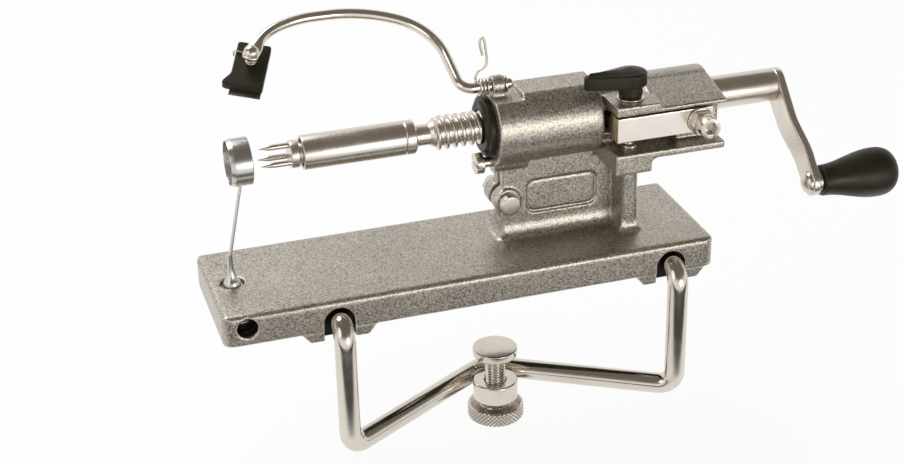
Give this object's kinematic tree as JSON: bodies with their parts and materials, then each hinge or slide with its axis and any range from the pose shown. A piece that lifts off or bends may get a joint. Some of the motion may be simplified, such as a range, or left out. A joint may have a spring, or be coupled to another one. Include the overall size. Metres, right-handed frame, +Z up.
{
  "type": "apple peeler",
  "caption": "Hand-cranked apple peeler with a screw-fed fork spindle, swinging peel knife, slicing and coring knife, release lever and a bow clamp for a table edge.",
  "frame": {"origin": "middle of the base in the plane of the feet, on the table top", "axes": "+X along the spindle towards the crank, +Y to the back over the table, +Z up"},
  "size_m": [0.332, 0.1007, 0.1998],
  "materials": {
    "hammertone": "hammertone lacquer",
    "black_plastic": "satin",
    "bronze": "machined",
    "blade_steel": "ground",
    "bright_plate": "polished",
    "nickel": "warm nickel plate",
    "zinc_rod": "zinc plate",
    "fastener_steel": "nickel plate"
  },
  "bodies": {
    "frame": {"casting": "hammertone", "front_bush": "black_plastic", "bush_screw": "fastener_steel", "bush_clamp_bolt": "fastener_steel", "bush_clamp_nut": "fastener_steel", "slicing_knife": "blade_steel", "knife_set_screw": "fastener_steel", "adjust_screw": "fastener_steel", "adjust_nut": "fastener_steel", "adjust_washer": "fastener_steel", "arm_spring": "fastener_steel"},
    "turning_bush": {"rear_bush": "bronze"},
    "spindle": {"drive_shaft": "nickel", "feed_screw": "nickel", "apple_fork": "nickel", "crank_arm": "nickel", "crank_screw": "fastener_steel", "handle_pin": "fastener_steel", "handle_collar": "fastener_steel"},
    "grip": {"handle_grip": "black_plastic"},
    "ejector": {"ejector_sleeve": "nickel", "ejector_ring": "nickel"},
    "lever": {"release_lever": "black_plastic", "lever_stem": "fastener_steel", "lever_washer": "fastener_steel"},
    "engaging_bar": {"nut_bar": "bronze", "bar_plate": "bright_plate"},
    "peel_arm": {"peel_arm_rod": "nickel", "arm_snap_ring": "fastener_steel", "head_pivot_screw": "fastener_steel"},
    "peel_head": {"knife_holder": "black_plastic", "peel_blade": "blade_steel", "blade_screws": "fastener_steel", "head_spring": "fastener_steel"},
    "bow": {"clamp_bow": "zinc_rod"},
    "pad": {"clamp_pad": "zinc_rod"},
    "screw": {"clamp_screw": "zinc_rod", "clamp_knob": "zinc_rod"}
  },
  "joints": [
    {"name": "crank_turn", "type": "hinge", "parent": "frame", "child": "turning_bush", "pos_m": [0.119, 0, 0.08], "axis": [1, 0, 0], "range_deg": [-2880, 2700]},
    {"name": "spindle_feed", "type": "slide", "parent": "turning_bush", "child": "spindle", "axis": [1, 0, 0], "range_m": [-0.032, 0.03]},
    {"name": "grip_spin", "type": "hinge", "parent": "spindle", "child": "grip", "pos_m": [0.172, -0.03712, 0.04288], "axis": [1, 0, 0], "continuous": true},
    {"name": "sleeve_eject", "type": "slide", "parent": "spindle", "child": "ejector", "axis": [-1, 0, 0], "range_m": [0, 0.018]},
    {"name": "lever_turn", "type": "hinge", "parent": "frame", "child": "lever", "pos_m": [0.0805, -0.0185, 0.09], "axis": [0, 0, 1], "range_deg": [0, 90]},
    {"name": "bar_release", "type": "hinge", "parent": "frame", "child": "engaging_bar", "pos_m": [0.1116, -0.0245, 0.0802], "axis": [0, 0, 1], "range_deg": [0, 2.7]},
    {"name": "peel_arm_swing", "type": "hinge", "parent": "frame", "child": "peel_arm", "pos_m": [0.0214, 0, 0.0997], "axis": [-1, 0, 0], "range_deg": [-50, 40]},
    {"name": "peel_head_tilt", "type": "hinge", "parent": "peel_arm", "child": "peel_head", "pos_m": [-0.08563, 0.03317, 0.11734], "axis": [0, 0.4695, -0.8829], "range_deg": [-12, 12]},
    {"name": "bow_pull", "type": "slide", "parent": "frame", "child": "bow", "axis": [0, -1, 0], "range_m": [0, 0.012]},
    {"name": "pad_travel", "type": "slide", "parent": "bow", "child": "pad", "axis": [0, 0, 1], "range_m": [-0.012, 0.0025]},
    {"name": "clamp_turn", "type": "hinge", "parent": "pad", "child": "screw", "pos_m": [0.0155, -0.01063, -0.05], "axis": [0, 0, 1], "range_deg": [-2880, 600]}
  ],
  "couplings": [
    {"joint": "spindle_feed", "follows": "crank_turn", "m_per_rad": 0.00063662},
    {"joint": "bar_release", "follows": "lever_turn", "ratio": 0.03},
    {"joint": "clamp_turn", "follows": "pad_travel", "rad_per_m": 4188.8}
  ]
}
